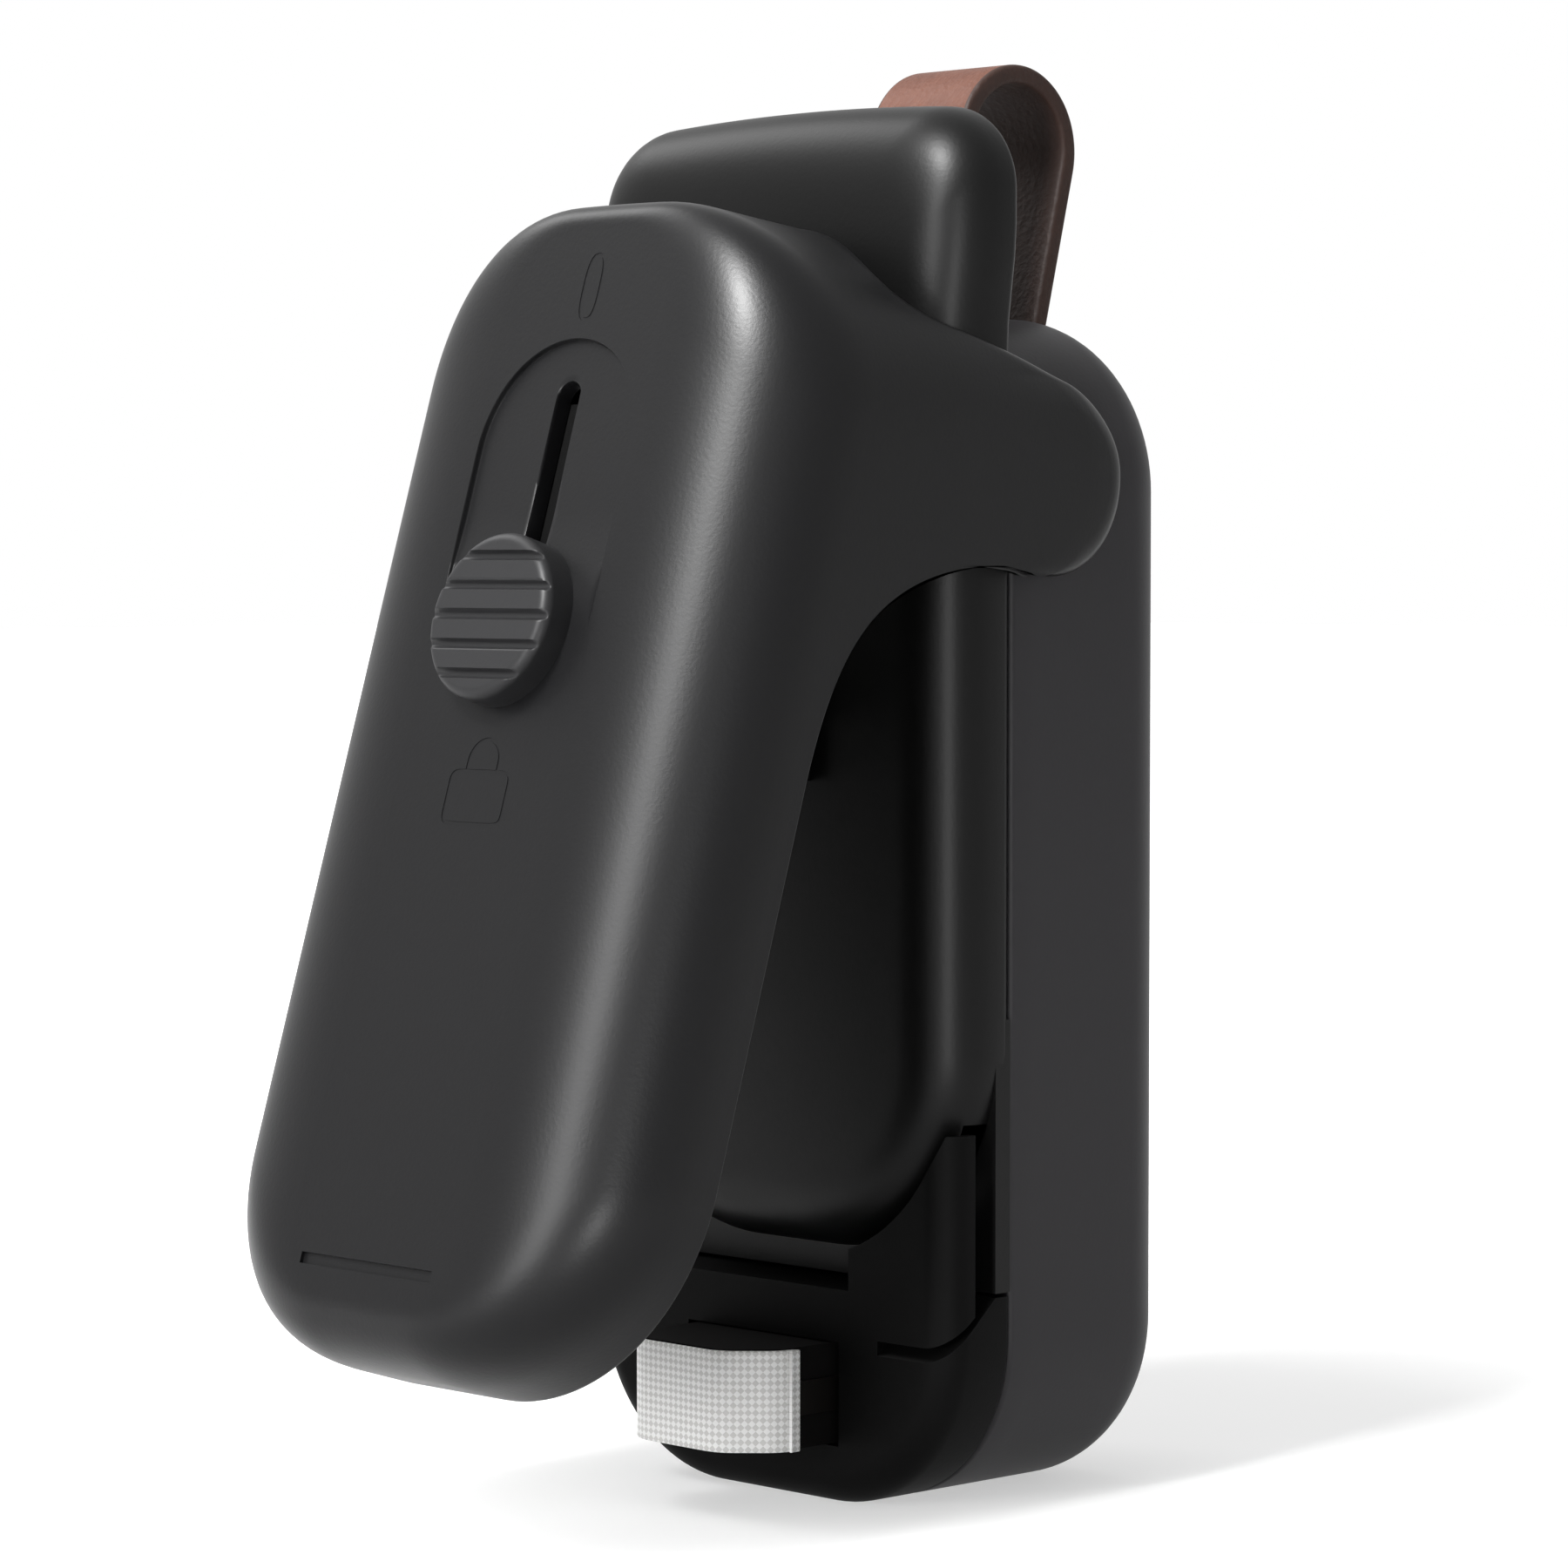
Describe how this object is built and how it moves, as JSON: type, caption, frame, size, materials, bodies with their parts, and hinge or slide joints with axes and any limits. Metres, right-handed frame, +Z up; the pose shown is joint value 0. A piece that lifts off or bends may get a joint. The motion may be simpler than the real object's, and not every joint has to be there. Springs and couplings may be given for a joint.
{
  "type": "handheld bag sealer",
  "caption": "Handheld battery bag sealer: upright black housing with a swinging press lever, lock slider, heated jaw under glass cloth, side film cutter and a leather hanging loop.",
  "frame": {"origin": "on the flat bottom face of the rear housing, in the middle plane, 1 mm behind the seam of the two housings", "axes": "+Z up along the housing's length, +Y to the battery door at the back, -Y to the press lever, +X to the film cutter's side"},
  "size_m": [0.042, 0.066, 0.1055],
  "materials": {
    "black_abs": "satin black moulded ABS",
    "inner_plastic": "matt black moulded ABS",
    "heater_ceramic": "dark fired ceramic, matt",
    "heating_alloy": "bare resistance alloy ribbon",
    "glass_cloth": "white woven glass cloth with a slick coating",
    "brass": "bare pressed brass",
    "wire_sleeve": "red wire insulation",
    "steel": "plated steel",
    "cell_sleeve": "plain printed sleeve on a dry cell",
    "board_laminate": "green solder mask",
    "chip_resin": "matt moulded resin",
    "white_plastic": "natural white acetal",
    "leather": "orange-brown finished leather, darker cut edges",
    "silicone": "matt red silicone rubber"
  },
  "bodies": {
    "housing": {"rear_housing": "black_abs", "front_housing": "black_abs", "heater_block": "black_abs", "heater_core": "heater_ceramic", "heating_ribbon": "heating_alloy", "glass_cloth": "glass_cloth", "heater_terminals": "brass", "heater_wires": "wire_sleeve", "cutter_blade": "steel", "battery_cell_left": "cell_sleeve", "battery_cell_right": "cell_sleeve", "battery_springs": "steel", "bridge_plate": "steel", "contact_plates": "steel", "circuit_board": "board_laminate", "board_parts": "chip_resin", "micro_switch": "chip_resin", "lock_catch": "steel", "housing_screws": "steel", "strap_bar": "steel", "return_spring": "steel"},
    "lever": {"lever_shell": "black_abs", "lever_liner": "inner_plastic", "liner_screws": "steel", "pivot_shaft": "steel", "pad_holder": "white_plastic", "silicone_pad": "silicone"},
    "lock": {"lock_knob": "black_abs", "lock_slide": "white_plastic", "lock_screw": "steel"},
    "plunger": {"switch_plunger": "white_plastic"},
    "door": {"battery_door": "black_abs"},
    "strap": {"strap_loop": "leather"}
  },
  "joints": [
    {"name": "lever_hinge", "type": "hinge", "parent": "housing", "child": "lever", "pos_m": [0, 0.0044, 0.076], "axis": [1, 0, 0], "range_deg": [0, 21], "stiffness_Nm_per_rad": 0.4, "springref_deg": -20.05, "deforming": ["return_spring"]},
    {"name": "lock_slider", "type": "slide", "parent": "lever", "child": "lock", "axis": [0, 0.2924, 0.9563], "range_m": [0, 0.013]},
    {"name": "plunger_press", "type": "slide", "parent": "housing", "child": "plunger", "axis": [0, 1, 0], "range_m": [0, 0.0008]},
    {"name": "door_lift", "type": "slide", "parent": "housing", "child": "door", "axis": [0, 1, 0], "range_m": [0, 0.03]},
    {"name": "strap_swing", "type": "hinge", "parent": "housing", "child": "strap", "pos_m": [0, 0.0142, 0.084], "axis": [1, 0, 0], "range_deg": [-60, 15], "stiffness_Nm_per_rad": 0.004}
  ],
  "couplings": [
    {"joint": "plunger_press", "follows": "lever_hinge", "m_per_rad": 0.00218}
  ]
}
